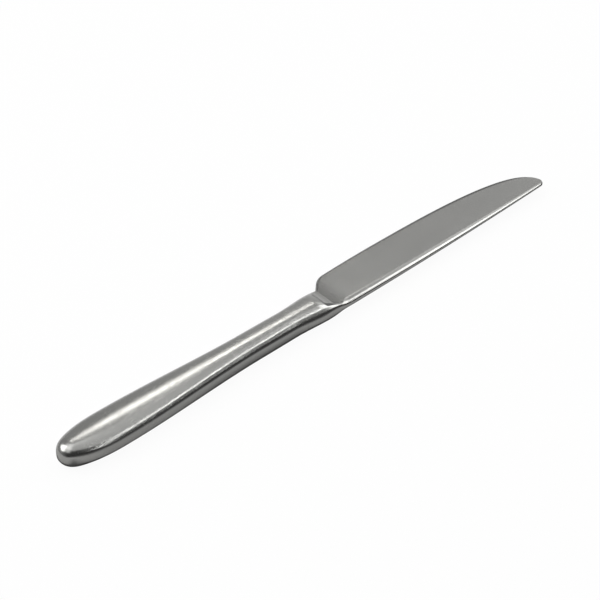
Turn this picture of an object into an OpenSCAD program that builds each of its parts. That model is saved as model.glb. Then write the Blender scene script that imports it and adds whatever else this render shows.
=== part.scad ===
// Table knife with a hollow handle, lying on its side.
// The length runs along X with the tip at +X, the cutting edge faces +Y and +Z is up.
// Inside the formulas x is measured from the butt, y from the handle's axis towards the
// cutting edge and z from the plane where the two half shells meet.

/* [Overall] */
// Length from the butt to the tip
overall_length = 236.4; // [215:0.1:260]

/* [Handle] */
// Length of the hollow handle, from the butt to its joint with the bolster
handle_length = 102; // [95:0.5:110]
// Width of the handle where it is widest
handle_width = 15.8; // [14:0.1:19]
// Distance from the butt to the place where the handle starts to narrow
widest_at = 22; // [21:0.5:35]
// Width of the handle at its neck
neck_width = 11.1; // [10:0.1:13]
// Distance from the butt to the start of the neck
neck_at = 81.6; // [60:0.2:92]
// Thickness of the handle
handle_thickness = 8.3; // [7.5:0.1:10]
// Length of the rounded butt, seen from above
butt_length = 20.3; // [15:0.1:21]
// Squareness of the butt seen from above, where 2 is an ellipse
butt_squareness = 2.2; // [2:0.1:3]
// Length over which the butt rounds over, seen from the side
butt_rounding = 4.8; // [3:0.1:8]
// Squareness of that rounding, where 2 is an ellipse
rounding_squareness = 2.3; // [2:0.1:3]
// Share of its height by which the handle's crowned top falls away towards its sides
section_crown = 0.38; // [0.2:0.01:0.5]
// Squareness of the handle's rounded sides, where 2 is an ellipse
corner_squareness = 5.5; // [4:0.5:8]

/* [Shells] */
// Wall of the half shells
shell_wall = 0.9; // [0.6:0.05:1.2]
// Thickness of the filler between the half shells
seam_filler = 0.2; // [0.1:0.05:0.4]
// Thickness of the filler between the handle and the bolster
neck_filler = 0.2; // [0.1:0.05:0.4]

/* [Bolster] */
// Width of the bolster, half of which is the distance from the axis to the spine at the heel
bolster_width = 13.1; // [12:0.1:15]
// Squareness of the bolster's rounded sides, where 2 is an ellipse
bolster_squareness = 4; // [3:0.1:6]
// Distance from the joint back to the place where the neck starts to flare
flare_setback = 5; // [2:0.5:10]
// Length of the flare
flare_length = 15; // [8:0.5:18]
// Distance from the joint to the place where the bolster starts to thin
taper_start = 7; // [4:0.5:10]
// Distance from the joint to the place where it is as thin as the blade
taper_end = 20; // [15:0.5:22]
// Distance from the joint to the foot of the ramp, on the knife's axis
ramp_foot = 15.2; // [12:0.1:17]
// Radius of the hollow ramp between the bolster and the blade's side
ramp_radius = 6.5; // [5:0.5:10]
// Steepest angle of the ramp
ramp_angle = 65; // [50:1:75]
// How far the foot of the ramp runs forward for each millimetre towards the edge
ramp_slant = 0.15; // [0:0.05:0.4]
// Distance from the axis to the foot of the lip along the spine, beside the foot of the ramp
lip_offset = 4.2; // [3.5:0.1:5.5]
// How far the foot of the lip runs out for each millimetre towards the tip
lip_slant = 0.8; // [0.1:0.05:1.2]
// Radius of the hollow between the blade's side and that lip
lip_radius = 0.6; // [0.4:0.1:3]
// Steepest angle of that hollow
lip_angle = 22; // [15:1:45]

/* [Blade] */
// Distance from the handle's axis to the cutting edge at the belly
blade_reach = 13.4; // [11:0.1:17]
// Distance from the joint to the heel
heel_at = 16; // [15:0.5:20]
// Rise of the heel's slanted back edge for each millimetre of length
heel_slope = 0.9; // [0.8:0.05:2]
// Rounding of the heel's corner
heel_rounding = 2.5; // [1:0.1:5]
// Distance from the heel to the belly, where the blade is widest
belly_length = 39.5; // [30:0.5:50]
// How far the cutting edge falls back from the belly to the heel
heel_fall = 1.3; // [0.2:0.1:3]
// Squareness of the cutting edge's sweep from the belly to the tip
tip_sweep = 2.75; // [2:0.05:3.5]
// Distance from the handle's axis to the tip, on the spine's side
tip_offset = 1.7; // [0.5:0.1:3]
// How far the spine drops below the bolster's side at the heel
spine_drop = 0.3; // [0:0.05:0.8]
// How far the spine rises towards the axis at the tip
spine_rise = 2.5; // [1:0.1:3.5]
// Length of the rounded corner between the tip and the spine
tip_corner = 2.6; // [1:0.1:6]
// Thickness of the spine at the heel
spine_thickness = 3.26; // [2.6:0.02:4]
// Thickness of the spine at the tip
tip_thickness = 1.56; // [1.2:0.02:2.4]
// Squareness of the rounded spine, where 2 is an ellipse
spine_squareness = 3.5; // [3:0.1:6]
// Thickness of the blade behind the edge's bevel, at the belly
edge_shoulder = 1; // [0.8:0.02:1.4]
// Width of the bevel along the cutting edge
bevel_width = 0.8; // [0.4:0.05:1.5]
// Thickness of the cutting edge
edge_thickness = 0.16; // [0.1:0.02:0.3]

/* [Tang] */
// Length of the tang inside the handle
tang_length = 40; // [25:0.5:60]
// Cement between the tang and the inside of the shells
cement_wall = 1.2; // [0.8:0.05:1.5]
// Cement beyond the end of the tang
cement_end = 3; // [1:0.5:8]
// Radius of the grip notches in the tang's sides
notch_radius = 1.5; // [0.8:0.1:2]
// Distance between the grip notches
notch_pitch = 12; // [8:0.5:14]
// Clearance between the cement and the shells
cement_clearance = 0.05; // [0.02:0.01:0.1]

/* [Hidden] */
$fn = 48;

// Counts that set how finely the curved faces are divided
BUTT_STEPS = 10;
GRIP_STEPS = 18;
ARC_STEPS = 20;
BOLSTER_STEPS = 26;
BELLY_STEPS = 6;
TIP_STEPS = 16;
ACROSS_STEPS = 26;
CEMENT_STEPS = 12;
RAMP_STEPS = 8;

// Power that crowds the points of the handle's sections towards their sides
CROWDING = 0.6;

// Places along the length
joint_front = handle_length + neck_filler;
flare_start = handle_length - flare_setback;
flare_end = flare_start + flare_length;
ramp_at = handle_length + ramp_foot;
heel_x = handle_length + heel_at;
thin_start = handle_length + taper_start;
thin_end = handle_length + taper_end;
corner_end = heel_x + 2 * heel_rounding;
belly_at = heel_x + belly_length;
tang_end = handle_length - tang_length;

// Sizes of the tang, which fits the hollow at the neck with cement all round
tang_width = neck_width - 2 * (shell_wall + cement_wall);
tang_thickness = handle_thickness - 2 * (shell_wall + cement_wall);
// How far the bar of the tang runs on into the bolster that it is forged with
tang_root = taper_start / 4;

// Slopes of the blade's flat side, along the length and towards the edge
side_fall = (spine_thickness - tip_thickness) / 2 / (overall_length - heel_x);
belly_spine = spine_thickness / 2 - side_fall * belly_length;
side_slope = (belly_spine - edge_shoulder / 2) / (blade_reach + bolster_width / 2);

// Eases from 0 at a to 1 at b, level at both ends
function ease(x, a, b) = let (u = max(0, min(1, (x - a) / (b - a)))) u * u * (3 - 2 * u);

// Share of the full size at a distance x from a rounded end of the given length
function round_end(x, length, squareness) =
    let (u = max(0, min(1, 1 - x / length)))
    pow(max(0, 1 - pow(u, squareness)), 1 / squareness);

// Lower of two values, with their corner rounded by k
function soft_min(a, b, k) = let (h = max(0, k - abs(a - b)) / k) min(a, b) - h * h * k / 4;

function signed_power(c, p) = sign(c) * pow(abs(c), p);

// Half width of the handle and the bolster, before the butt is rounded
function plan_half(x) =
    handle_width / 2
    + (neck_width - handle_width) / 2 * ease(x, widest_at, neck_at)
    + (bolster_width - neck_width) / 2 * ease(x, flare_start, flare_end);

// Half width and half thickness of the handle, inset from its outside
function handle_half(x, inset) =
    (plan_half(x) - inset) * round_end(x - inset, butt_length - inset, butt_squareness);
function handle_thick(x, inset) =
    (handle_thickness / 2 - inset)
    * round_end(x - inset, butt_rounding - inset, rounding_squareness);

// Squareness of the rounded sides at x, which change at the bolster and again at the spine
function side_squareness(x) =
    corner_squareness
    + (bolster_squareness - corner_squareness) * ease(x, neck_at, flare_end)
    + (spine_squareness - bolster_squareness) * ease(x, heel_x, corner_end);

// Share of its full height that the section at x has at a share s of its half width: a shallow
// crown with rounded sides
function section_height(x, s, crown) =
    let (n = side_squareness(x))
    (1 - crown * s * s) * pow(max(0, 1 - pow(s, n)), 1 / n);

// Point of the handle's upper half at angle a, from the spine's side over the top
function handle_point(x, a, inset, lift) =
    let (s = signed_power(cos(a), CROWDING),
         rise = max(0, handle_thick(x, inset) - lift))
    [x, -handle_half(x, inset) * s, lift + rise * section_height(x, abs(s), section_crown)];

// Places of the handle's sections: close together on the butt, then even
handle_x = concat(
    [for (i = [1:BUTT_STEPS]) butt_length * (1 - cos(90 * i / BUTT_STEPS))],
    [for (i = [1:GRIP_STEPS]) butt_length + (handle_length - butt_length) * i / GRIP_STEPS]);
rows = len(handle_x);

// The inner wall has its own sections, which start one wall from the butt
function inner_x(x) = shell_wall + x * (1 - shell_wall / handle_length);

// Distance from the axis to the spine, and y of the spine and the cutting edge
function spine_half(x) =
    plan_half(x) + spine_drop * ease(x, heel_x, corner_end)
    - spine_rise * pow(max(0, (x - heel_x) / (overall_length - heel_x)), 2);
function spine_y(x) =
    let (u = max(0, 1 - (overall_length - x) / tip_corner))
    -tip_offset - (spine_half(x) - tip_offset) * sqrt(max(0, 1 - u * u));
function swept_edge(x) =
    let (u = min(1, (x - belly_at) / (overall_length - belly_at)))
    -tip_offset + (blade_reach + tip_offset) * pow(max(0, 1 - pow(u, tip_sweep)), 1 / tip_sweep);
function rear_edge(x) = blade_reach - heel_fall * pow((belly_at - x) / belly_length, 2);
function heel_back(x) = bolster_width / 2 + heel_slope * (x - heel_x);
function edge_y(x) =
    x > belly_at ? swept_edge(x)
    : max(plan_half(x), soft_min(heel_back(x), rear_edge(x), heel_rounding));

// Half thickness along the spine, falling through the bolster to the blade
function spine_thick(x) =
    spine_thickness / 2 - side_fall * max(0, x - heel_x)
    + (handle_thickness - spine_thickness) / 2 * (1 - ease(x, thin_start, thin_end));
// Crown of the section, which fades out through the bolster and sooner on the spine's side
function bolster_crown(x, y) =
    section_crown * (1 - ease(x, thin_start, y < 0 ? heel_x : corner_end));

// Height of the blade's flat side
function side_z(x, y) =
    spine_thickness / 2 - side_fall * (x - heel_x) - side_slope * (y + bolster_width / 2);

// Height of the rounded body
function body_z(x, y) =
    let (reach = y < 0 || edge_y(x) <= 0 ? -spine_y(x) : edge_y(x),
         share = min(1, abs(y) / reach))
    spine_thick(x) * section_height(x, share, bolster_crown(x, y));

// Height of the edge's bevel, which meets the flat side at its full width and stays steeper than it
function bevel_slope(x) =
    max(2 * side_slope, (side_z(x, edge_y(x)) - edge_thickness / 2) / bevel_width);
function bevel_z(x, y) =
    x < heel_x ? handle_thickness
    : edge_thickness / 2 + bevel_slope(x) * (edge_y(x) - y);
function blade_z(x, y) = min(body_z(x, y), bevel_z(x, y));

// Places of the blade's sections, closest at the bolster, the heel and the tip
blade_x = concat(
    [for (i = [0:BOLSTER_STEPS]) joint_front + (corner_end - joint_front) * i / BOLSTER_STEPS],
    [for (i = [1:BELLY_STEPS]) corner_end + (belly_at - corner_end) * i / BELLY_STEPS],
    [for (i = [1:TIP_STEPS - 1])
        belly_at + (overall_length - belly_at) * sin(90 * i / TIP_STEPS)]);

// One closed section of the blade, over the top from the spine to the edge and back below
function blade_section(x) =
    let (low = spine_y(x),
         high = edge_y(x),
         across = [for (j = [0:ACROSS_STEPS])
             low + (high - low) * (1 - cos(180 * j / ACROSS_STEPS)) / 2],
         top = [for (j = [0:ACROSS_STEPS])
             j == 0 || j == ACROSS_STEPS ? 0 : blade_z(x, across[j])])
    concat(
        [for (j = [0:ACROSS_STEPS]) [x, across[j], top[j]]],
        [for (j = [ACROSS_STEPS - 1:-1:1]) [x, across[j], -top[j]]]);

// Two triangles between points k and next of two neighbouring rows
function strip(row_a, row_b, k, next) =
    [[row_a + k, row_b + next, row_b + k], [row_a + k, row_a + next, row_b + next]];

// Puts a shape given from the butt and the axis into the part's frame, resting on z = 0
module placed() {
    translate([
        -overall_length / 2,
        (handle_width / 2 - blade_reach) / 2,
        handle_thickness / 2
    ])
        children();
}

// Solid through closed sections of equal count, with a flat start and a flat or pointed end
module lofted(sections, tip) {
    count = len(sections[0]);
    last = len(sections) - 1;
    points = concat([for (s = sections) each s], tip == undef ? [] : [tip]);
    walls = [for (i = [0:last - 1]) for (k = [0:count - 1])
        each strip(i * count, (i + 1) * count, k, (k + 1) % count)];
    start = [[for (k = [count - 1:-1:0]) k]];
    finish = tip == undef
        ? [[for (k = [0:count - 1]) last * count + k]]
        : [for (k = [0:count - 1])
            [last * count + k, last * count + (k + 1) % count, len(points) - 1]];
    polyhedron(points = points, faces = concat(start, walls, finish), convexity = 6);
}

// One half shell above the seam: an outer and an inner skin, joined at the rim and the mouth
module half_shell() {
    lift = seam_filler / 2;
    across = ARC_STEPS + 1;
    inner = rows * across;
    poles = 2 * rows * across;
    outer_skin = [for (x = handle_x) for (j = [0:ARC_STEPS])
        handle_point(x, 180 * j / ARC_STEPS, 0, lift)];
    inner_skin = [for (x = handle_x) for (j = [0:ARC_STEPS])
        handle_point(inner_x(x), 180 * j / ARC_STEPS, shell_wall, lift)];
    points = concat(outer_skin, inner_skin, [[0, 0, lift], [shell_wall, 0, lift]]);
    skin = [for (i = [0:rows - 2]) for (j = [0:ARC_STEPS - 1])
        each strip(i * across, (i + 1) * across, j, j + 1)];
    nose = [for (j = [0:ARC_STEPS - 1]) [poles, j + 1, j]];
    inside = [for (f = skin) [f[0] + inner, f[2] + inner, f[1] + inner]];
    inside_nose = [for (j = [0:ARC_STEPS - 1]) [poles + 1, inner + j, inner + j + 1]];
    mouth = [for (j = [0:ARC_STEPS - 1])
        each strip((rows - 1) * across, inner + (rows - 1) * across, j, j + 1)];
    near_rim = [for (i = [0:rows - 2])
        each [[i * across, inner + (i + 1) * across, inner + i * across],
              [i * across, (i + 1) * across, inner + (i + 1) * across]]];
    far_rim = [for (f = near_rim) [f[0] + ARC_STEPS, f[2] + ARC_STEPS, f[1] + ARC_STEPS]];
    near_end = [[poles, inner, poles + 1], [poles, 0, inner]];
    far_end = [[poles, poles + 1, inner + ARC_STEPS], [poles, inner + ARC_STEPS, ARC_STEPS]];
    polyhedron(
        points = points,
        faces = concat(skin, nose, inside, inside_nose, mouth, near_rim, far_rim, near_end, far_end),
        convexity = 6);
}

// Outline of the handle in the seam's plane, from the mouth round the butt and back
function seam_outline(inset) =
    let (near = [for (x = handle_x) let (s = inset > 0 ? inner_x(x) : x)
             [s, -handle_half(s, inset)]])
    concat(
        [for (i = [rows - 1:-1:0]) near[i]],
        [[inset, 0]],
        [for (i = [0:rows - 1]) [near[i][0], -near[i][1]]]);

// Closed outline of the handle's section at x, inset from its outside, as [y, z] points
function section_outline(x, inset) =
    [for (k = [0:2 * ARC_STEPS - 1])
        let (a = 180 * k / ARC_STEPS,
             s = signed_power(cos(a), CROWDING))
        [-handle_half(x, inset) * s,
         handle_thick(x, inset) * sign(sin(a)) * section_height(x, abs(s), section_crown)]];

// Outline of the metal above a level line that rises at its start in a hollow of the given radius,
// up to the given angle, and then in a straight wall
module hollow_cut(radius, angle) {
    top = 2 * handle_thickness;
    hollow = [for (i = [RAMP_STEPS:-1:0])
        let (a = angle * i / RAMP_STEPS)
        [-radius * sin(a), radius * (1 - cos(a))]];
    wall_top = hollow[0][0] - (top - hollow[0][1]) / tan(angle);
    polygon(concat([[wall_top, top]], hollow, [[overall_length, 0], [overall_length, top]]));
}

// Metal that is ground away above the blade's flat side, with a hollow ramp up to the bolster
// and a hollow up to the lip along the spine
module side_cut() {
    tilt = atan(side_fall);
    translate([ramp_at, 0, side_z(ramp_at, 0)])
        rotate([-atan(side_slope * cos(tilt)), tilt, 0])
            intersection() {
                rotate([90, 0, -atan(ramp_slant)])
                    translate([0, 0, -overall_length / 2])
                        linear_extrude(overall_length)
                            hollow_cut(ramp_radius, ramp_angle);
                translate([0, -lip_offset, 0])
                    rotate([90, 0, 90 - atan(lip_slant)])
                        translate([0, 0, -overall_length / 2])
                            linear_extrude(2 * overall_length)
                                hollow_cut(lip_radius, lip_angle);
            }
}

// Bar of the tang, with pairs of round notches that key it into the cement
module tang() {
    difference() {
        translate([tang_end, -tang_width / 2, -tang_thickness / 2])
            cube([joint_front + tang_root - tang_end, tang_width, tang_thickness]);
        for (at = [tang_end + notch_pitch / 2 : notch_pitch : handle_length - notch_pitch / 2])
            for (side = [-1, 1])
                translate([at, side * tang_width / 2, -handle_thickness / 2])
                    cylinder(r = notch_radius, h = handle_thickness);
    }
}

// Blade, bolster and tang in one forging
module blade() {
    color("silver")
        placed()
            union() {
                difference() {
                    lofted([for (x = blade_x) blade_section(x)], [overall_length, -tip_offset, 0]);
                    side_cut();
                    mirror([0, 0, 1])
                        side_cut();
                }
                tang();
            }
}

module upper_handle_shell() {
    color("gainsboro")
        placed()
            half_shell();
}

module lower_handle_shell() {
    color("lightgray")
        placed()
            mirror([0, 0, 1])
                half_shell();
}

// Filler between the rims of the half shells, open at the handle's mouth
module seam_braze() {
    color("darkgray")
        placed()
            translate([0, 0, -seam_filler / 2])
                linear_extrude(seam_filler)
                    difference() {
                        polygon(seam_outline(0));
                        polygon(seam_outline(shell_wall));
                    }
}

// Ring of filler between the handle's mouth and the bolster's back face
module neck_braze() {
    color("darkgray")
        placed()
            translate([handle_length, 0, 0])
                rotate([90, 0, 90])
                    linear_extrude(neck_filler)
                        difference() {
                            polygon(section_outline(handle_length, 0));
                            polygon(section_outline(handle_length, shell_wall));
                        }
}

// Cement that fills the hollow round the tang and a little beyond its end
module tang_cement() {
    inset = shell_wall + cement_clearance;
    start = tang_end - cement_end;
    color("tan")
        placed()
            difference() {
                lofted([for (i = [0:CEMENT_STEPS])
                    let (x = start + (joint_front - start) * i / CEMENT_STEPS)
                    [for (q = section_outline(x, inset)) [x, q[0], q[1]]]]);
                tang();
            }
}

blade();
upper_handle_shell();
lower_handle_shell();
seam_braze();
neck_braze();
tang_cement();
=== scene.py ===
"""Table knife with a hollow steel handle, lying on its side in a plain studio.

The length runs along X with the tip at +X, the cutting edge faces +Y and +Z is up.
Inside the formulas x is measured from the butt, y from the handle's axis towards the
cutting edge and z from the plane where the two half shells meet, all in metres.
"""

import math

import bmesh
import bpy
import numpy as np
from bpy.props import FloatProperty, FloatVectorProperty, PointerProperty
from mathutils import Matrix, Vector


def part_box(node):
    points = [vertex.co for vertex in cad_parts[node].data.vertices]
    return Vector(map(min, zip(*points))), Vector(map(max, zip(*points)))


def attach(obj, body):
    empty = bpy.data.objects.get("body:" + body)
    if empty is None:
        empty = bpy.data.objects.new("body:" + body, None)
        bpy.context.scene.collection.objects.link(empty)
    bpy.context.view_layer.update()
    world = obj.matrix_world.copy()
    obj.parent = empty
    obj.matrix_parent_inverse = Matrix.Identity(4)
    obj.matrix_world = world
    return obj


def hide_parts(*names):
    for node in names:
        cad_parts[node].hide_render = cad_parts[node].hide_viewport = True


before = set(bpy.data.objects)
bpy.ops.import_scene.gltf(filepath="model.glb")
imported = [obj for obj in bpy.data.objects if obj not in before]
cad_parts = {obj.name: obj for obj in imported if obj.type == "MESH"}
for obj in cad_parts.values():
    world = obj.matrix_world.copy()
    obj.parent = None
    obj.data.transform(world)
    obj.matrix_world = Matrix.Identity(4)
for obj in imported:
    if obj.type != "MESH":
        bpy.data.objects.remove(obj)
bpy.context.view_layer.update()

bl_info = {
    "name": "Table Knife",
    "version": (1, 0, 0),
    "blender": (4, 5, 0),
    "location": "3D View > Sidebar > Table Knife",
    "description": "Builds a table knife with a hollow polished handle and a satin blade",
    "category": "Add Mesh",
}

MM = 0.001

# Sizes that the solids hold
UPPER_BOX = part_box("upper_handle_shell")
LOWER_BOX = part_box("lower_handle_shell")
BLADE_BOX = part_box("blade")
SEAM_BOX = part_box("seam_braze")
NECK_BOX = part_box("neck_braze")
OVERALL_LENGTH = BLADE_BOX[1].x - UPPER_BOX[0].x
HANDLE_LENGTH = UPPER_BOX[1].x - UPPER_BOX[0].x
HANDLE_WIDTH = UPPER_BOX[1].y - UPPER_BOX[0].y
HANDLE_THICKNESS = UPPER_BOX[1].z - LOWER_BOX[0].z
SEAM_FILLER = SEAM_BOX[1].z - SEAM_BOX[0].z
NECK_FILLER = NECK_BOX[1].x - NECK_BOX[0].x
AXIS_Y = (UPPER_BOX[0].y + UPPER_BOX[1].y) / 2
BLADE_REACH = BLADE_BOX[1].y - AXIS_Y
TANG_LENGTH = UPPER_BOX[1].x - BLADE_BOX[0].x

# Point of the part's frame where the butt, the handle's axis and the seam's plane meet
BUTT_POINT = np.array([UPPER_BOX[0].x, AXIS_Y, LOWER_BOX[0].z + HANDLE_THICKNESS / 2])

# Counts of points: along the butt and the grip, round half a section of the handle, along the
# bolster, the blade's rear and its front, across the blade and along the tang
BUTT_POINTS = 73
GRIP_POINTS = 73
ROUND_POINTS = 73
BOLSTER_POINTS = 161
REAR_POINTS = 31
FRONT_POINTS = 81
ACROSS_POINTS = 121
TANG_POINTS = 321

# Power of the cosine that crowds a section's points towards its sides
CROWDING = 0.6

# Points closer together than this are welded, and edges sharper than this are shaded sharp
WELD_DISTANCE = 0.0001 * MM
SHARP_ANGLE = math.radians(50)

# How sharply a scratch ends at its sides, how sharply worn places end, and how high bumps stand
LINE_CONTRAST = 40
WEAR_CONTRAST = 8
BUMP_HEIGHT = 0.02 * MM

# Directions along the knife to its tip, and across it to its cutting edge
ALONG = Vector((1, 0, 0))
ACROSS = Vector((0, 1, 0))

# Where the mirrored floor darkens: across or along, from its full light to its full shade
SPINE_SHADE = (-13 * MM, -10 * MM)
EDGE_SHADE = (12 * MM, 8 * MM)
BUTT_SHADE = (-121.5 * MM, -118.5 * MM)
AWAY_SHADE = (-15 * MM, -24 * MM)

# Half the floor's side in metres
FLOOR_HALF = 6

# Direction of the room's pale side, and how far towards its pale and its far side a direction
# has to point for their light to set in and to be full
PALE_WAY = Vector((0.88, 0.42, 0.2))
PALE_SPREAD = (0.3, 1.0)
FAR_SPREAD = (-0.2, 0.8)

# Direction of the fill light's rays, and the angle over which they spread
FILL_WAY = Vector((0.42, -0.38, -0.82))
FILL_SPREAD = math.radians(60)

# Tint of the strip beyond the knife, and of the other lamps
WARM = (1, 0.985, 0.96)
PLAIN = (1, 1, 1)

# Lamps: name, both ends, width in metres, the setting that holds the brightness, and the tint.
# An end is how far along the knife in metres, and how many degrees above the far horizon.
LAMPS = (
    ("far_strip", (0.36, 44), (0.715, 59), 0.09, "strip_brightness", WARM),
    ("overhead_line", (0.38, 107), (0.7, 104), 0.06, "line_brightness", PLAIN),
    ("line_head", (0.7, 104), (0.86, 87), 0.05, "head_brightness", PLAIN),
    ("overhead_panel", (-0.5, 86), (0.64, 86), 0.85, "panel_brightness", PLAIN),
    ("right_softbox", (0.83, 107), (1.3, 107), 1.1, "softbox_brightness", PLAIN),
    ("right_glow", (0.86, 70), (1.3, 70), 0.6, "glow_brightness", PLAIN),
    ("line_tail", (0.08, 138), (0.38, 111), 0.05, "tail_brightness", PLAIN),
    ("butt_softbox", (-1.2, 55), (-0.2, 43), 0.66, "butt_brightness", PLAIN),
    ("butt_glow", (-1.1, 103), (0.2, 57), 0.45, "glow_brightness", PLAIN),
    ("near_panel", (0.08, 149), (0.28, 147), 0.32, "near_brightness", PLAIN),
)

# Point that the camera looks at
CAMERA_AIM = Vector((-6.9 * MM, 4.7 * MM, 4.15 * MM))


def length(name, description, default):
    """A size in metres that the user may change."""
    return FloatProperty(
        name=name, description=description, default=default, min=0, precision=5, unit="LENGTH"
    )


def ratio(name, description, default):
    """A plain number that the user may change."""
    return FloatProperty(name=name, description=description, default=default, min=0, precision=3)


def colour(name, description, default):
    """A linear colour that the user may change."""
    return FloatVectorProperty(
        name=name, description=description, default=default, size=3, min=0, max=1, subtype="COLOR"
    )


def turn(name, description, degrees):
    """An angle that the user may change, given here in degrees."""
    return FloatProperty(
        name=name, description=description, default=math.radians(degrees), unit="ROTATION"
    )


class KnifeSizes(bpy.types.PropertyGroup):
    """Sizes of the knife's forms, and how much painted shade darkens its steel in three places."""

    overall_length: length("Overall length", "From the butt to the tip", OVERALL_LENGTH)
    handle_length: length("Handle length", "From the butt to the bolster's joint", HANDLE_LENGTH)
    handle_width: length("Handle width", "Width where the handle is widest", HANDLE_WIDTH)
    widest_at: length("Widest at", "From the butt to where the handle narrows", 22 * MM)
    neck_width: length("Neck width", "Width of the handle at its neck", 11.1 * MM)
    neck_at: length("Neck at", "From the butt to the start of the neck", 81.6 * MM)
    handle_thickness: length("Handle thickness", "Thickness of the handle", HANDLE_THICKNESS)
    butt_length: length("Butt length", "Length of the rounded butt from above", 20.3 * MM)
    butt_squareness: ratio("Butt squareness", "Butt from above, where 2 is an ellipse", 2.2)
    butt_rounding: length("Butt rounding", "Length of the butt's rounding from the side", 4.8 * MM)
    rounding_squareness: ratio("Rounding squareness", "Where 2 is an ellipse", 2.3)
    section_crown: ratio("Section crown", "Share by which the top falls to its sides", 0.38)
    corner_squareness: ratio("Corner squareness", "Rounded sides of the handle", 5.5)
    bolster_squareness: ratio("Bolster squareness", "Rounded sides of the bolster", 4.0)
    shell_wall: length("Shell wall", "Wall of the half shells", 0.9 * MM)
    seam_filler: length("Seam filler", "Filler between the half shells", SEAM_FILLER)
    neck_filler: length("Neck filler", "Filler between handle and bolster", NECK_FILLER)
    bolster_width: length("Bolster width", "Width of the bolster", 13.1 * MM)
    flare_setback: length("Flare setback", "From the joint back to the flare", 5 * MM)
    flare_length: length("Flare length", "Length of the flare", 15 * MM)
    taper_start: length("Taper start", "From the joint to where the bolster thins", 7 * MM)
    taper_end: length("Taper end", "From the joint to where it is as thin as the blade", 20 * MM)
    ramp_foot: length("Ramp foot", "From the joint to the foot of the ramp", 15.2 * MM)
    ramp_radius: length("Ramp radius", "Radius of the hollow ramp", 6.5 * MM)
    ramp_angle: turn("Ramp angle", "Steepest angle of the ramp", 65)
    ramp_slant: ratio("Ramp slant", "Run of the ramp's foot towards the edge", 0.15)
    lip_offset: length("Lip offset", "From the axis to the foot of the spine's lip", 4.2 * MM)
    lip_slant: ratio("Lip slant", "Run of the lip's foot outwards", 0.8)
    lip_radius: length("Lip radius", "Radius of the hollow at that lip", 0.6 * MM)
    lip_angle: turn("Lip angle", "Steepest angle of that hollow", 22)
    blade_reach: length("Blade reach", "From the axis to the edge at the belly", BLADE_REACH)
    heel_at: length("Heel at", "From the joint to the heel", 16 * MM)
    heel_slope: ratio("Heel slope", "Slope of the heel's back edge", 0.9)
    heel_rounding: length("Heel rounding", "Rounding of the heel's corner", 2.5 * MM)
    belly_length: length("Belly length", "From the heel to the belly", 39.5 * MM)
    heel_fall: length("Heel fall", "Fall of the edge from the belly to the heel", 1.3 * MM)
    tip_sweep: ratio("Tip sweep", "Squareness of the edge's sweep to the tip", 2.75)
    tip_offset: length("Tip offset", "From the axis to the tip", 1.7 * MM)
    spine_drop: length("Spine drop", "Drop of the spine below the bolster's side", 0.3 * MM)
    spine_rise: length("Spine rise", "Rise of the spine towards the axis", 2.5 * MM)
    tip_corner: length("Tip corner", "Rounded corner between tip and spine", 2.6 * MM)
    spine_thickness: length("Spine thickness", "Thickness of the spine at the heel", 3.26 * MM)
    tip_thickness: length("Tip thickness", "Thickness of the spine at the tip", 1.56 * MM)
    spine_squareness: ratio("Spine squareness", "Rounded spine of the blade", 3.5)
    edge_shoulder: length("Edge shoulder", "Thickness behind the edge's bevel", 1.0 * MM)
    bevel_width: length("Bevel width", "Width of the edge's bevel", 0.8 * MM)
    edge_thickness: length("Edge thickness", "Thickness of the cutting edge", 0.16 * MM)
    # Painted shade: how far and how much the steel's colour is darkened beside the ramp's foot, on the
    # edge's bevel and on the lip's wall
    ramp_shade_length: length("Runout length", "Dulled flat ahead of the ramp", 9 * MM)
    ramp_shade_share: ratio("Runout share", "How much darker the flat is beside the ramp", 0.4)
    bevel_share: ratio("Bevel share", "How much darker the edge's bevel is", 0.75)
    lip_shade: length("Lip shade", "Width over which the lip's wall darkens", 0.8 * MM)
    lip_share: ratio("Lip share", "How much darker that wall is", 0.95)
    tang_length: length("Tang length", "Length of the tang in the handle", TANG_LENGTH)
    cement_wall: length("Cement wall", "Cement between tang and shells", 1.2 * MM)
    notch_radius: length("Notch radius", "Radius of the tang's grip notches", 1.5 * MM)
    notch_pitch: length("Notch pitch", "Distance between the grip notches", 12 * MM)


class KnifeFinish(bpy.types.PropertyGroup):
    """Colours and polish of the knife's surfaces."""

    handle_colour: colour("Handle colour", "Polished steel of the handle", (0.30, 0.30, 0.29))
    handle_roughness: ratio("Handle roughness", "Roughness of the polish", 0.22)
    blade_colour: colour("Blade colour", "Satin steel of the blade's sides", (0.30, 0.30, 0.29))
    blade_roughness: ratio("Blade roughness", "Roughness of the satin sides", 0.24)
    braze_colour: colour("Braze colour", "Silver-coloured filler", (0.30, 0.298, 0.285))
    cement_colour: colour("Cement colour", "Set cement in the handle", (0.42, 0.34, 0.25))
    scratch_depth: ratio("Scratch depth", "Strength of the use scratches", 0.16)
    grain_depth: ratio("Grain depth", "Strength of the satin grain", 0.10)


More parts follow.
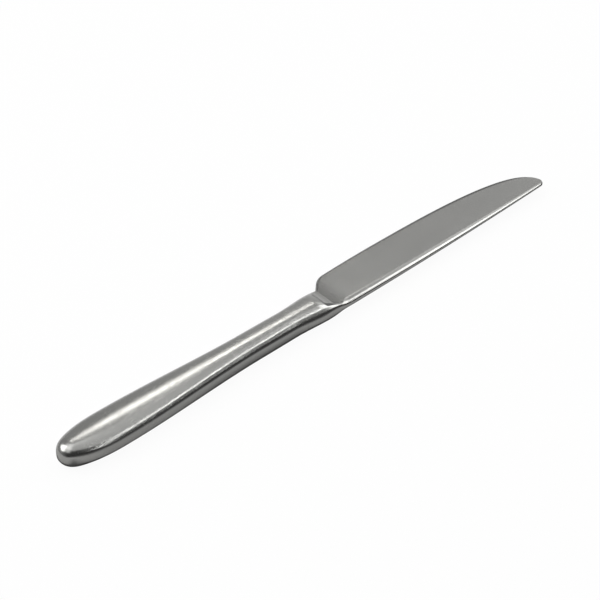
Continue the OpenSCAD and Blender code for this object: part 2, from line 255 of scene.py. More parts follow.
class KnifeStage(bpy.types.PropertyGroup):
    """Floor, light and camera."""

    floor_colour: colour("Floor colour", "Pale floor", (0.7, 0.7, 0.7))
    floor_white: ratio("Floor white", "Share of plain white that the camera sees", 0.95)
    mirrored_white: ratio("Mirrored white", "Share of plain white that the steel mirrors", 0.04)
    mirrored_shade: ratio("Mirrored shade", "Darkness of the mirrored floor off its lit band", 0.8)
    room_dark: ratio("Dark room", "Brightness of the room on the near side", 0.1)
    room_far: ratio("Far room", "Brightness that the far side adds", 0.5)
    room_pale: ratio("Pale room", "Brightness that the tip's side adds", 0.8)
    room_focus: ratio("Room focus", "How quickly the pale side falls off", 6.0)
    fill_strength: ratio("Fill light", "Soft light over the floor", 0.2)
    strip_brightness: ratio("Strip light", "Brightness of the strip beyond the knife", 7.5)
    line_brightness: ratio("Line light", "Brightness of the narrow light overhead", 7.5)
    head_brightness: ratio("Line's head", "Brightness of its end at the bolster", 5.0)
    tail_brightness: ratio("Line's tail", "Brightness of its end at the butt", 7.0)
    panel_brightness: ratio("Panel light", "Brightness of the soft panel overhead", 0.66)
    softbox_brightness: ratio("Softbox", "Brightness of the softbox beside the tip", 3.4)
    glow_brightness: ratio("Glow", "Brightness of the soft panels at the tip and the butt", 0.9)
    butt_brightness: ratio("Butt light", "Brightness of the light beyond the butt", 2.8)
    near_brightness: ratio("Near light", "Brightness of the small panel on the near side", 0.8)
    camera_distance: length("Camera distance", "From the camera to its aim", 0.525)
    camera_heading: turn("Camera heading", "Turn of the view from +Y towards +X", 45.18)
    camera_pitch: turn("Camera pitch", "How far the view looks down", 35)
    camera_lens: ratio("Camera lens", "Focal length in millimetres", 90)


def ease(x, start, end):
    """Smooth step from 0 before start to 1 after end: u * u * (3 - 2 u)."""
    u = np.clip((x - start) / (end - start), 0, 1)
    return u * u * (3 - 2 * u)


def round_end(x, size, squareness):
    """Share of the full size at x from a rounded end: a superellipse's quarter."""
    u = np.clip(1 - x / size, 0, 1)
    return np.maximum(0, 1 - u**squareness) ** (1 / squareness)


def soft_min(a, b, k):
    """Lower of two values, with their corner rounded by k."""
    h = np.maximum(0, k - np.abs(a - b)) / k
    return np.minimum(a, b) - h * h * k / 4


def hollow_arc(behind, radius, steepest):
    """Rise of a hollow that starts level at its foot: an arc up to an angle, then a straight wall."""
    arc_end = radius * math.sin(steepest)
    behind = np.maximum(behind, 0)
    arc = radius - np.sqrt(radius**2 - np.minimum(behind, arc_end) ** 2)
    return arc + np.maximum(behind - arc_end, 0) * math.tan(steepest)


def signed_power(c, p):
    """Power of the size of c that keeps its sign."""
    return np.sign(c) * np.abs(c) ** p


class KnifeForm:
    """The knife's surfaces as formulas over whole arrays, from its sizes."""

    def __init__(self, sizes):
        self.s = sizes
        self.joint_front = sizes.handle_length + sizes.neck_filler
        self.flare_start = sizes.handle_length - sizes.flare_setback
        self.flare_end = self.flare_start + sizes.flare_length
        self.ramp_at = sizes.handle_length + sizes.ramp_foot
        self.heel_x = sizes.handle_length + sizes.heel_at
        self.thin_start = sizes.handle_length + sizes.taper_start
        self.thin_end = sizes.handle_length + sizes.taper_end
        self.corner_end = self.heel_x + 2 * sizes.heel_rounding
        self.belly_at = self.heel_x + sizes.belly_length
        self.tang_end = sizes.handle_length - sizes.tang_length
        blade_length = sizes.overall_length - self.heel_x
        self.side_fall = (sizes.spine_thickness - sizes.tip_thickness) / 2 / blade_length
        belly_spine = sizes.spine_thickness / 2 - self.side_fall * sizes.belly_length
        self.side_slope = (belly_spine - sizes.edge_shoulder / 2) / (
            sizes.blade_reach + sizes.bolster_width / 2
        )

    def handle_places(self):
        """Places along the handle, crowded at the butt, and the places of the hollow that match."""
        s = self.s
        butt = s.butt_length * (1 - np.cos(np.linspace(0, np.pi / 2, BUTT_POINTS)))
        grip = np.linspace(s.butt_length, s.handle_length, GRIP_POINTS)
        x = np.concatenate([butt, grip[1:]])
        return x, s.shell_wall + x * (1 - s.shell_wall / s.handle_length)

    def plan_half(self, x):
        """Half width of handle and bolster: eased from the widest place to the neck and out again."""
        s = self.s
        neck = (s.neck_width - s.handle_width) / 2 * ease(x, s.widest_at, s.neck_at)
        flare = (s.bolster_width - s.neck_width) / 2 * ease(x, self.flare_start, self.flare_end)
        return s.handle_width / 2 + neck + flare

    def handle_half(self, x, inset):
        """Half width of the handle with its rounded butt, set in from the outside."""
        s = self.s
        rounding = round_end(x - inset, s.butt_length - inset, s.butt_squareness)
        return (self.plan_half(x) - inset) * rounding

    def handle_thick(self, x, inset):
        """Half thickness of the handle with its rounded butt, set in from the outside."""
        s = self.s
        rounding = round_end(x - inset, s.butt_rounding - inset, s.rounding_squareness)
        return (s.handle_thickness / 2 - inset) * rounding

    def handle_section(self, x, angle, inset):
        """Upper half of a crowned section, lifted by half the seam's filler.

        y follows a power of the angle's cosine, which crowds the points towards the sides, and z
        the section's height at that share of the half width.
        """
        s = self.s
        lift = s.seam_filler / 2
        rise = np.maximum(0, self.handle_thick(x, inset) - lift)
        share = signed_power(np.cos(angle), CROWDING)
        y = -self.handle_half(x, inset) * share
        z = lift + rise * self.section_height(x, np.abs(share), s.section_crown)
        return np.stack(np.broadcast_arrays(x, y, z), axis=-1)

    def section_height(self, x, share, crown):
        """Share of a section's full height: a parabola's crown times a superellipse's quarter.

        The superellipse gets rounder from the handle to the bolster and on to the spine.
        """
        s = self.s
        bolster = ease(x, s.neck_at, self.flare_end)
        spine = ease(x, self.heel_x, self.corner_end)
        corner = s.corner_squareness + (s.bolster_squareness - s.corner_squareness) * bolster
        corner = corner + (s.spine_squareness - s.bolster_squareness) * spine
        return (1 - crown * share**2) * np.maximum(0, 1 - share**corner) ** (1 / corner)

    def spine_y(self, x):
        """The spine: the plan's near side, dropped at the heel and raised by a parabola.

        A quarter ellipse rounds its corner at the tip.
        """
        s = self.s
        along = np.maximum(0, (x - self.heel_x) / (s.overall_length - self.heel_x))
        drop = s.spine_drop * ease(x, self.heel_x, self.corner_end)
        half = self.plan_half(x) + drop - s.spine_rise * along**2
        u = np.maximum(0, 1 - (s.overall_length - x) / s.tip_corner)
        return -s.tip_offset - (half - s.tip_offset) * np.sqrt(np.maximum(0, 1 - u * u))

    def edge_y(self, x):
        """The cutting edge: a slanted heel, a shallow parabola to the belly and a superellipse sweep."""
        s = self.s
        heel = s.bolster_width / 2 + s.heel_slope * (x - self.heel_x)
        rear = s.blade_reach - s.heel_fall * ((self.belly_at - x) / s.belly_length) ** 2
        back = np.maximum(self.plan_half(x), soft_min(heel, rear, s.heel_rounding))
        u = np.clip((x - self.belly_at) / (s.overall_length - self.belly_at), 0, 1)
        sweep = np.maximum(0, 1 - u**s.tip_sweep) ** (1 / s.tip_sweep)
        return np.where(x > self.belly_at, (s.blade_reach + s.tip_offset) * sweep - s.tip_offset, back)

    def body_z(self, x, y):
        """Half thickness of the forged body: crowned across, with a crown that fades at the bolster."""
        s = self.s
        thick = s.spine_thickness / 2 - self.side_fall * np.maximum(0, x - self.heel_x)
        swell = (s.handle_thickness - s.spine_thickness) / 2
        thick = thick + swell * (1 - ease(x, self.thin_start, self.thin_end))
        fade_end = np.where(y < 0, self.heel_x, self.corner_end)
        crown = s.section_crown * (1 - ease(x, self.thin_start, fade_end))
        edge = self.edge_y(x)
        reach = np.where((y < 0) | (edge <= 0), -self.spine_y(x), edge)
        share = np.minimum(1, np.abs(y) / np.maximum(reach, 1e-9))
        return thick * self.section_height(x, share, crown)

    def side_z(self, x, y):
        """The blade's flat side: a plane that falls towards the tip and towards the edge."""
        s = self.s
        fall = self.side_fall * (x - self.heel_x)
        return s.spine_thickness / 2 - fall - self.side_slope * (y + s.bolster_width / 2)

    def hollow_z(self, x, y):
        """Rise over the flat side: the higher of the ramp at the bolster and the lip along the spine."""
        s = self.s
        ramp = (s.ramp_slant * y - (x - self.ramp_at)) / math.hypot(1, s.ramp_slant)
        ramp_rise = hollow_arc(ramp, s.ramp_radius, s.ramp_angle)
        lip_rise = hollow_arc(self.behind_lip(x, y), s.lip_radius, s.lip_angle)
        return np.maximum(ramp_rise, lip_rise)

    def behind_lip(self, x, y):
        """Distance behind the foot of the spine's lip, seen from above."""
        s = self.s
        across = -s.lip_offset - y - s.lip_slant * (x - self.ramp_at)
        return across / math.hypot(1, s.lip_slant)

    def lip_painted_shade(self, x, y):
        """Painted shade on the wall above the lip's foot, which fades out towards both its ends.

        The fades are measured in shade widths from the ramp, the lip's offset and its foot.
        """
        s = self.s
        width = s.lip_shade
        front = 1 - ease(x - self.ramp_at, -2 * width, -0.4 * width)
        back = ease(-y, s.lip_offset - 3 * width, s.lip_offset - 1.7 * width)
        wall = ease(self.behind_lip(x, y), -0.4 * width, 0.6 * width)
        return s.lip_share * front * back * wall

    def bevel_z(self, x, y):
        """The edge's bevel: a slope from the cutting edge that meets the side at the bevel's width.

        It stays at least twice as steep as the side.
        """
        s = self.s
        edge = self.edge_y(x)
        slope = (self.side_z(x, edge) - s.edge_thickness / 2) / s.bevel_width
        bevel = s.edge_thickness / 2 + np.maximum(2 * self.side_slope, slope) * (edge - y)
        return np.where(x < self.heel_x, s.handle_thickness, bevel)


def half_shell(form, side):
    """One pressed half of the handle: a closed outline of its wall, carried along the handle.

    The outline runs over the outer skin from the spine's side to the edge's side and back over the
    inner skin. Its places along the length crowd at the butt, where the outline shrinks to a point.
    side is 1 above the seam and -1 below it, where the outline runs the other way round.
    """
    x, inner_x = form.handle_places()
    angle = np.linspace(0, np.pi, ROUND_POINTS)
    outer = form.handle_section(x[:, None], angle, 0)
    inner = form.handle_section(inner_x[:, None], angle, form.s.shell_wall)
    rings = np.concatenate([outer, inner[:, ::-1]], axis=1)
    rings[..., 2] *= side
    return rings[:, ::side]


def seam_strip(form):
    """Filler between the shells' rims: a small rectangle carried round the handle's outline.

    The path runs from the mouth along the spine's side, round the butt and back along the edge's
    side. The rectangle is one shell wall wide and as thick as the seam.
    """
    s = form.s
    x, inner_x = form.handle_places()
    outer = np.stack([x, form.handle_half(x, 0)], axis=-1)
    inner = np.stack([inner_x, form.handle_half(inner_x, s.shell_wall)], axis=-1)
    mirror = np.array([1, -1])
    outer = np.concatenate([outer[:0:-1] * mirror, outer])
    inner = np.concatenate([inner[:0:-1] * mirror, inner])
    half = s.seam_filler / 2
    plan = np.stack([outer, outer, inner, inner], axis=1)
    height = np.broadcast_to(np.array([-half, half, half, -half]), plan.shape[:2])
    return np.concatenate([plan, height[..., None]], axis=-1)


def neck_ring(form):
    """Filler between the handle's mouth and the bolster: a small rectangle carried round the neck."""
    s = form.s
    angle = np.linspace(0, np.pi, ROUND_POINTS)
    mouth = np.array(s.handle_length)
    upper = form.handle_section(mouth, angle, 0)
    bore = form.handle_section(mouth, angle, s.shell_wall)
    flip = np.array([1, 1, -1])
    outer = np.concatenate([upper, upper[::-1] * flip])
    inner = np.concatenate([bore, bore[::-1] * flip])
    outer = np.concatenate([outer, outer[:1]])
    inner = np.concatenate([inner, inner[:1]])
    front = np.array([s.neck_filler, 0, 0])
    return np.stack([outer, outer + front, inner + front, inner], axis=1)


def forged_blade(form):
    """Bolster and blade: a closed outline over the top and back below, carried to the tip.

    Each half of the outline is the lowest of the forged body, the ground side with its ramp and
    the edge's bevel, over places that crowd at the spine and the edge. Returns the points and two
    masks for each: ground is 1 on the ground side and 0 on the polished body and ramp, and
    painted_shade is painted shade, how much darker the steel's colour is made, which fades out
    ahead of the ramp, along the lip's wall and behind the bevel.
    """
    s = form.s
    bolster = np.linspace(form.joint_front, form.corner_end, BOLSTER_POINTS)
    rear = np.linspace(form.corner_end, form.belly_at, REAR_POINTS)
    sweep = np.sin(np.linspace(0, np.pi / 2, FRONT_POINTS))
    front = form.belly_at + (s.overall_length - form.belly_at) * sweep
    x = np.concatenate([bolster, rear[1:], front[1:]])[:, None]
    across = (1 - np.cos(np.linspace(0, np.pi, ACROSS_POINTS))) / 2
    low = form.spine_y(x)
    y = low + (form.edge_y(x) - low) * across
    body = form.body_z(x, y)
    side = form.side_z(x, y)
    hollow = form.hollow_z(x, y)
    bevel = form.bevel_z(x, y)
    z = np.minimum(np.minimum(body, side + hollow), bevel)
    z[:, 0] = 0
    z[:, -1] = 0
    ground = np.where((np.minimum(side, bevel) < body) & (hollow <= 0), 1.0, 0.0)
    ahead = x - form.ramp_at - s.ramp_slant * y
    # Painted shade on the flat beside the ramp's foot, fading out ahead of it
    ramp_shade = s.ramp_shade_share * ground * (1 - ease(ahead, 0, s.ramp_shade_length))
    # Painted shade on the edge's bevel, fading out behind it
    behind = 1 - ease(form.edge_y(x) - y, s.bevel_width, 2 * s.bevel_width)
    painted_shade = np.maximum(ramp_shade, s.bevel_share * ground * behind)
    # Painted shade on the lip's wall
    painted_shade = np.where(side + hollow < body, np.maximum(painted_shade, form.lip_painted_shade(x, y)), painted_shade)
    top = np.stack(np.broadcast_arrays(x, y, z), axis=-1)
    below = top * np.array([1, 1, -1])
    rings = np.concatenate([top, below[:, ::-1]], axis=1)
    masks = {"ground": ground, "painted_shade": painted_shade}
    return rings, {name: np.concatenate([m, m[:, ::-1]], axis=1) for name, m in masks.items()}


def tang_bar(form):
    """Tang inside the handle: a rectangle carried into the bolster, waisted by pairs of notches."""
    s = form.s
    width = s.neck_width - 2 * (s.shell_wall + s.cement_wall)
    thick = s.handle_thickness - 2 * (s.shell_wall + s.cement_wall)
    x = np.linspace(form.tang_end, form.joint_front + s.taper_start / 4, TANG_POINTS)
    first = form.tang_end + s.notch_pitch / 2
    count = math.floor((s.handle_length - s.notch_pitch / 2 - first) / s.notch_pitch + 1e-6)
    nearest = np.clip(np.round((x - first) / s.notch_pitch), 0, count) * s.notch_pitch + first
    depth = np.sqrt(np.maximum(0, s.notch_radius**2 - (x - nearest) ** 2))
    half = width / 2 - depth
    y = np.stack([-half, half, half, -half], axis=1)
    z = np.broadcast_to(np.array([1, 1, -1, -1]) * thick / 2, y.shape)
    return np.stack(np.broadcast_arrays(x[:, None], y, z), axis=-1)


def carried_faces(rows, columns, start_cap, end_cap):
    """Quads of a closed outline carried along a path, facing away from the path.

    A cap joins each point of the outline's first half to the one opposite it in the second half.
    """
    i = np.arange(rows - 1)[:, None] * columns
    j = np.arange(columns)[None, :]
    k = (j + 1) % columns
    walls = np.stack([i + j, i + columns + j, i + columns + k, i + k], axis=-1).reshape(-1, 4)
    j = np.arange(columns // 2 - 1)
    cap = np.stack([j, columns - 1 - j, columns - 2 - j, j + 1], axis=-1)
    faces = [walls]
    if start_cap:
        faces.append(cap[:, ::-1])
    if end_cap:
        faces.append(cap + (rows - 1) * columns)
    return np.concatenate(faces)


def make_piece(name, node, parts, material, masks=None):
    """Mesh object of carried outlines in place of a CAD node, riding on the knife's one body.

    Each part is its rings of points and whether its first and last ring are capped. The masks are
    values for the points of the first part. Points that fall together at a pole are welded.
    """
    points = []
    faces = []
    count = 0
    for rings, start_cap, end_cap in parts:
        rows, columns = rings.shape[:2]
        faces.append(carried_faces(rows, columns, start_cap, end_cap) + count)
        points.append(rings.reshape(-1, 3) + BUTT_POINT)
        count += rows * columns
    mesh = bpy.data.meshes.new(name)
    mesh.from_pydata(np.concatenate(points).tolist(), [], np.concatenate(faces).tolist())
    for mask, shares in (masks or {}).items():
        values = np.zeros(count, np.float32)
        values[: shares.size] = shares.ravel()
        mesh.attributes.new(mask, "FLOAT", "POINT").data.foreach_set("value", values)
    welded = bmesh.new()
    welded.from_mesh(mesh)
    bmesh.ops.remove_doubles(welded, verts=welded.verts, dist=WELD_DISTANCE)
    welded.to_mesh(mesh)
    welded.free()
    mesh.shade_smooth()
    mesh.set_sharp_from_angle(angle=SHARP_ANGLE)
    mesh.materials.append(material)
    piece = bpy.data.objects.new(name, mesh)
    bpy.context.scene.collection.objects.link(piece)
    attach(piece, "root")
    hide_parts(node)


class Shade:
    """An output of a node tree. Operators between values add Math nodes, and node adds any other."""

    def __init__(self, tree, socket=None):
        self.tree = tree
        self.socket = socket

    def node(self, kind, settings=None, inputs=None, output=0):
        """Adds a node, sets its settings, then its inputs, and gives back one of its outputs."""
        made = self.tree.nodes.new(kind)
        for key, value in (settings or {}).items():
            setattr(made, key, value)
        for key, value in (inputs or {}).items():
            if isinstance(value, Shade):
                self.tree.links.new(value.socket, made.inputs[key])
            else:
                made.inputs[key].default_value = value
        return Shade(self.tree, made.outputs[output] if made.outputs else None)

    def math(self, operation, *values):
        """A Math node over one, two or three values."""
        return self.node("ShaderNodeMath", {"operation": operation}, dict(enumerate(values)))

    def __add__(self, other):
        return self.math("ADD", self, other)

    def __radd__(self, other):
        return self.math("ADD", other, self)

    def __sub__(self, other):
        return self.math("SUBTRACT", self, other)

    def __rsub__(self, other):
        return self.math("SUBTRACT", other, self)

    def __mul__(self, other):
        return self.math("MULTIPLY", self, other)

    def __rmul__(self, other):
        return self.math("MULTIPLY", other, self)

    def __abs__(self):
        return self.math("ABSOLUTE", self)

    def clipped(self):
        """The value held between 0 and 1."""
        return self.node("ShaderNodeClamp", {}, {"Value": self})

    def noise(self, stretch, angle=0.0, seed=0.0, detail=2.0):
        """Noise at this point, with features as long as stretch along each axis, turned about z."""
        turned = {"Rotation": (0, 0, angle), "Location": (seed, seed, seed), "Scale": stretch}
        texture = {"vector_type": "TEXTURE"}
        place = self.node("ShaderNodeMapping", texture, {"Vector": self, **turned})
        inputs = {"Vector": place, "Scale": 1.0, "Detail": detail}
        return self.node("ShaderNodeTexNoise", {}, inputs)

    def hairlines(self, reach, spacing, angle, seed):
        """Long thin scratches: where noise that is drawn out along one direction crosses its middle."""
        drawn = self.noise((reach, spacing, spacing), angle, seed, 1.0)
        worn = self.noise((reach / 2, reach / 2, reach / 2), angle, seed + 0.1)
        line = (1 - abs(drawn - 0.5) * LINE_CONTRAST).clipped()
        return line * ((worn - 0.5) * WEAR_CONTRAST).clipped()

    def towards(self, way, start, end):
        """How far this direction or place lies along a way: 0 where that is start, 1 where it is end."""
        dot = {"operation": "DOT_PRODUCT"}
        product = self.node("ShaderNodeVectorMath", dot, {0: self, 1: way}, output="Value")
        limits = {"Value": product, "From Min": start, "From Max": end}
        return self.node("ShaderNodeMapRange", {}, limits)

    def mixed(self, factor, first, second):
        """One colour blended into another."""
        inputs = {0: factor, 6: first, 7: second}
        return self.node("ShaderNodeMix", {"data_type": "RGBA"}, inputs, output=2)


def new_material(name):
    """An empty material and the start of its node expressions."""
    material = bpy.data.materials.new(name)
    material.use_nodes = True
    material.node_tree.nodes.clear()
    return material, Shade(material.node_tree)


def close_material(shade, inputs):
    """Ends a material in a Principled shader with these inputs."""
    surface = shade.node("ShaderNodeBsdfPrincipled", {}, inputs)
    shade.node("ShaderNodeOutputMaterial", {}, {"Surface": surface})


def opaque(tint, share=1.0):
    """A colour with its brightness scaled and its alpha full."""
    return (tint[0] * share, tint[1] * share, tint[2] * share, 1.0)


def polished_steel(name, tint, finish):
    """Mirror polish with hairline scratches from use and faint smudges."""
    material, shade = new_material(name)
    place = shade.node("ShaderNodeTexCoord", output="Object")
    smudge = place.noise((14 * MM, 9 * MM, 9 * MM), seed=0.3)
    lengthwise = place.hairlines(reach=16 * MM, spacing=0.5 * MM, angle=0.12, seed=0.1)
    slanted = place.hairlines(reach=9 * MM, spacing=0.6 * MM, angle=0.7, seed=0.5)
    crossed = place.hairlines(reach=7 * MM, spacing=0.7 * MM, angle=-0.5, seed=0.9)
    scratch = lengthwise + slanted + crossed
    roughness = finish.handle_roughness + (smudge - 0.5) * 0.10 + scratch * 0.06
    colour_mix = shade.mixed(smudge, opaque(tint, 0.92), opaque(tint, 1.08))
    bump = shade.node(
        "ShaderNodeBump",
        {"invert": True},
        {"Strength": finish.scratch_depth, "Distance": BUMP_HEIGHT, "Height": scratch},
    )
    close_material(
        shade, {"Base Color": colour_mix, "Metallic": 1.0, "Roughness": roughness, "Normal": bump}
    )
    return material


def satin_blade(finish):
    """Steel with finely grained satin sides and a polished body and ramp, darkened by painted shade."""
    material, shade = new_material("satin_blade")
    place = shade.node("ShaderNodeTexCoord", output="Object")
    ground = shade.node("ShaderNodeAttribute", {"attribute_name": "ground"}, output="Fac")
    grain = place.noise((0.14 * MM, 5 * MM, 5 * MM), angle=0.06, seed=0.2)
    cloud = place.noise((18 * MM, 12 * MM, 12 * MM), seed=0.7)
    lengthwise = place.hairlines(reach=12 * MM, spacing=0.6 * MM, angle=0.15, seed=0.4)
    crossed = place.hairlines(reach=6 * MM, spacing=0.7 * MM, angle=-0.6, seed=0.8)
    scratch = lengthwise + crossed
    polish = finish.handle_roughness + (cloud - 0.5) * 0.06
    satin = finish.blade_roughness + (cloud - 0.5) * 0.06 + (grain - 0.5) * 0.06
    roughness = polish + ground * (satin - polish)
    tone = shade.mixed(cloud, opaque(finish.blade_colour, 0.96), opaque(finish.blade_colour, 1.04))
    # Painted shade: the base colour is blended towards black where this mask is set
    painted_shade = shade.node("ShaderNodeAttribute", {"attribute_name": "painted_shade"}, output="Fac")
    base = shade.mixed(ground, opaque(finish.handle_colour), tone)
    base = shade.mixed(painted_shade, base, opaque(finish.blade_colour, 0.0))
    height = ground * grain * finish.grain_depth - scratch * finish.scratch_depth
    bump = shade.node(
        "ShaderNodeBump", {}, {"Strength": 1.0, "Distance": BUMP_HEIGHT, "Height": height}
    )
    close_material(
        shade, {"Base Color": base, "Metallic": 1.0, "Roughness": roughness, "Normal": bump}
    )
    return material


def set_cement(finish):
    """Matte mineral cement with coarse grains."""
    material, shade = new_material("set_cement")
    place = shade.node("ShaderNodeTexCoord", output="Object")
    grains = place.noise((0.6 * MM, 0.6 * MM, 0.6 * MM), seed=0.6, detail=4.0)
    base = shade.mixed(grains, opaque(finish.cement_colour, 0.7), opaque(finish.cement_colour, 1.2))
    bump = shade.node(
        "ShaderNodeBump", {}, {"Strength": 0.4, "Distance": 0.1 * MM, "Height": grains}
    )
    close_material(
        shade, {"Base Color": base, "Roughness": 0.8 + grains * 0.15, "Normal": bump}
    )
    return material


def pale_floor(stage):
    """Matte pale floor with a barely visible variation, whitened for the camera and in the steel.

    The white is mixed in for camera, glossy and transmitted rays only, so that it lights nothing,
    and only in part, so that the floor keeps the knife's shadow. In the steel the floor is dark
    below the knife and beyond its tip, and far from it on the near side, with a lit band between.
    """
    material, shade = new_material("pale_floor")
    place = shade.node("ShaderNodeTexCoord", output="Object")
    cloud = place.noise((0.2, 0.2, 0.2), seed=0.5)
    mirrored = shade.node("ShaderNodeLightPath", output="Is Glossy Ray")
    below = place.towards(ACROSS, *SPINE_SHADE) * place.towards(ACROSS, *EDGE_SHADE)
    below = below * place.towards(ALONG, *BUTT_SHADE)
    away = place.towards(ACROSS, *AWAY_SHADE)
    shaded = (below + away).clipped() * mirrored * stage.mirrored_shade
    base = shade.mixed(cloud, opaque(stage.floor_colour, 0.99), opaque(stage.floor_colour, 1.01))
    base = shade.mixed(shaded, base, opaque(stage.floor_colour, 0.0))
    matte = shade.node(
        "ShaderNodeBsdfPrincipled",
        {},
        {"Base Color": base, "Roughness": 0.9, "Specular IOR Level": 0.1},
    )
    white = shade.node("ShaderNodeEmission", {}, {"Strength": 1.0})
    seen = shade.node("ShaderNodeLightPath", output="Is Camera Ray")
    through = shade.node("ShaderNodeLightPath", output="Is Transmission Ray")
    share = (seen + through) * stage.floor_white + mirrored * stage.mirrored_white
    surface = shade.node("ShaderNodeMixShader", {}, {0: share.clipped(), 1: matte, 2: white})
    shade.node("ShaderNodeOutputMaterial", {}, {"Surface": surface})
    return material


def strip_lamp(name, start, end, width, brightness, tint):
    """Rectangular area lamp one metre from the knife's line, facing it.

    start and end are the middles of its short sides: how far along the knife in metres, and how
    many degrees above the far horizon, seen along the knife. The power is four times the area
    times the brightness that a mirror shows.
    """
    ends = [
        Vector((along, math.cos(math.radians(angle)), math.sin(math.radians(angle))))
        for along, angle in (start, end)
    ]
    centre = (ends[0] + ends[1]) / 2
    run = ends[1] - ends[0]
    forward = run.normalized()
    back = centre - Vector((centre.x, 0, 0))
    back = (back - back.dot(forward) * forward).normalized()
    light = bpy.data.lights.new(name, "AREA")
    light.shape = "RECTANGLE"
    light.size = run.length
    light.size_y = width
    light.energy = 4 * run.length * width * brightness
    light.color = tint
    lamp = bpy.data.objects.new(name, light)
    turned = Matrix((forward, back.cross(forward), back)).transposed()
    lamp.matrix_world = Matrix.Translation(centre) @ turned.to_4x4()
    bpy.context.scene.collection.objects.link(lamp)


class KNIFE_OT_handle(bpy.types.Operator):
    """Build the two half shells of the hollow handle"""

    bl_idname = "knife.handle"
    bl_label = "Handle shells"

    def execute(self, context):
        form = KnifeForm(context.scene.knife_sizes)
        finish = context.scene.knife_finish
        steel = polished_steel("handle_polish", finish.handle_colour, finish)
        for name, side in (("upper_handle_shell", 1), ("lower_handle_shell", -1)):
            parts = [(half_shell(form, side), False, True)]
            make_piece("polished_" + name, name, parts, steel)
        return {"FINISHED"}


class KNIFE_OT_braze(bpy.types.Operator):
    """Build the fillers of the handle's seam and of its neck"""

    bl_idname = "knife.braze"
    bl_label = "Brazed joints"

    def execute(self, context):
        form = KnifeForm(context.scene.knife_sizes)
        finish = context.scene.knife_finish
        filler = polished_steel("polished_braze", finish.braze_colour, finish)
        seam = [(seam_strip(form), True, True)]
        neck = [(neck_ring(form), False, False)]
        make_piece("flush_seam_braze", "seam_braze", seam, filler)
        make_piece("flush_neck_braze", "neck_braze", neck, filler)
        return {"FINISHED"}


class KNIFE_OT_blade(bpy.types.Operator):
    """Build the blade with its bolster and tang"""

    bl_idname = "knife.blade"
    bl_label = "Blade"

    def execute(self, context):
        form = KnifeForm(context.scene.knife_sizes)
        rings, masks = forged_blade(form)
        parts = [(rings, True, False), (tang_bar(form), True, True)]
        steel = satin_blade(context.scene.knife_finish)
        make_piece("satin_blade", "blade", parts, steel, masks)
        return {"FINISHED"}


class KNIFE_OT_cement(bpy.types.Operator):
    """Finish the hidden cement round the tang"""

    bl_idname = "knife.cement"
    bl_label = "Cement"

    def execute(self, context):
        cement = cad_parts["tang_cement"]
        cement.data.materials.clear()
        cement.data.materials.append(set_cement(context.scene.knife_finish))
        return {"FINISHED"}


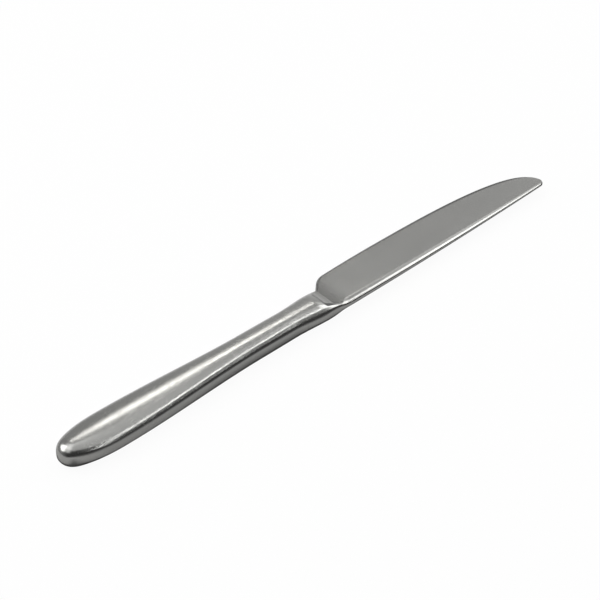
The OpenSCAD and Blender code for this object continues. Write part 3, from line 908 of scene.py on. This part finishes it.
class KNIFE_OT_stage(bpy.types.Operator):
    """Lay the floor, set the studio light and place the camera"""

    bl_idname = "knife.stage"
    bl_label = "Stage"

    def execute(self, context):
        scene = context.scene
        stage = scene.knife_stage
        scene.view_settings.view_transform = "Standard"
        self.lay_floor(scene, stage)
        self.light_room(scene, stage)
        self.set_lamps(scene, stage)
        self.place_camera(scene, stage)
        return {"FINISHED"}

    def lay_floor(self, scene, stage):
        """A wide flat square under the knife."""
        mesh = bpy.data.meshes.new("floor")
        half = FLOOR_HALF
        corners = [(-half, -half, 0), (half, -half, 0), (half, half, 0), (-half, half, 0)]
        mesh.from_pydata(corners, [], [(0, 1, 2, 3)])
        mesh.materials.append(pale_floor(stage))
        floor = bpy.data.objects.new("floor", mesh)
        scene.collection.objects.link(floor)

    def light_room(self, scene, stage):
        """A room that is pale on the far side, palest beyond the tip and dark on the near side."""
        world = bpy.data.worlds.new("studio_room")
        world.use_nodes = True
        world.node_tree.nodes.clear()
        scene.world = world
        shade = Shade(world.node_tree)
        way = shade.node("ShaderNodeTexCoord", output="Generated")
        far = way.towards(ACROSS, *FAR_SPREAD)
        pale = way.towards(PALE_WAY, *PALE_SPREAD)
        focused = shade.math("POWER", pale, stage.room_focus)
        level = stage.room_dark + far * stage.room_far + focused * stage.room_pale
        light = shade.node("ShaderNodeBackground", {}, {"Strength": level})
        shade.node("ShaderNodeOutputWorld", {}, {"Surface": light})

    def set_lamps(self, scene, stage):
        """The strip, line and panels that the steel mirrors, and a soft fill from above."""
        for name, start, end, width, setting, tint in LAMPS:
            strip_lamp(name, start, end, width, getattr(stage, setting), tint)
        fill = bpy.data.lights.new("floor_fill", "SUN")
        fill.energy = stage.fill_strength
        fill.angle = FILL_SPREAD
        lamp = bpy.data.objects.new("floor_fill", fill)
        lamp.rotation_euler = FILL_WAY.to_track_quat("-Z", "Y").to_euler()
        scene.collection.objects.link(lamp)

    def place_camera(self, scene, stage):
        """A long lens that looks down across the knife, aimed near the middle of its length."""
        heading = stage.camera_heading
        pitch = stage.camera_pitch
        level = Vector((math.sin(heading), math.cos(heading), 0))
        view = level * math.cos(pitch) + Vector((0, 0, -math.sin(pitch)))
        lens = bpy.data.cameras.new("camera")
        lens.lens = stage.camera_lens
        lens.sensor_width = 36
        lens.clip_start = 0.01
        camera = bpy.data.objects.new("camera", lens)
        camera.location = CAMERA_AIM - view * stage.camera_distance
        camera.rotation_euler = (math.pi / 2 - pitch, 0, -heading)
        scene.collection.objects.link(camera)
        scene.camera = camera


OPERATORS = (KNIFE_OT_handle, KNIFE_OT_braze, KNIFE_OT_blade, KNIFE_OT_cement, KNIFE_OT_stage)


class KNIFE_PT_panel(bpy.types.Panel):
    """Lists the knife's pieces and its stage"""

    bl_idname = "KNIFE_PT_panel"
    bl_label = "Table Knife"
    bl_space_type = "VIEW_3D"
    bl_region_type = "UI"
    bl_category = "Table Knife"

    def draw(self, context):
        for group in ("knife_sizes", "knife_finish", "knife_stage"):
            settings = getattr(context.scene, group)
            box = self.layout.box()
            for name in settings.__annotations__:
                box.prop(settings, name)
        for operator in OPERATORS:
            self.layout.operator(operator.bl_idname)


CLASSES = (KnifeSizes, KnifeFinish, KnifeStage, *OPERATORS, KNIFE_PT_panel)


def register():
    for item in CLASSES:
        bpy.utils.register_class(item)
    bpy.types.Scene.knife_sizes = PointerProperty(type=KnifeSizes)
    bpy.types.Scene.knife_finish = PointerProperty(type=KnifeFinish)
    bpy.types.Scene.knife_stage = PointerProperty(type=KnifeStage)


def unregister():
    del bpy.types.Scene.knife_stage
    del bpy.types.Scene.knife_finish
    del bpy.types.Scene.knife_sizes
    for item in reversed(CLASSES):
        bpy.utils.unregister_class(item)


def main():
    """Builds the knife and its stage."""
    register()
    bpy.ops.knife.handle()
    bpy.ops.knife.braze()
    bpy.ops.knife.blade()
    bpy.ops.knife.cement()
    bpy.ops.knife.stage()
    bpy.context.view_layer.update()


if __name__ == "__main__":
    main()
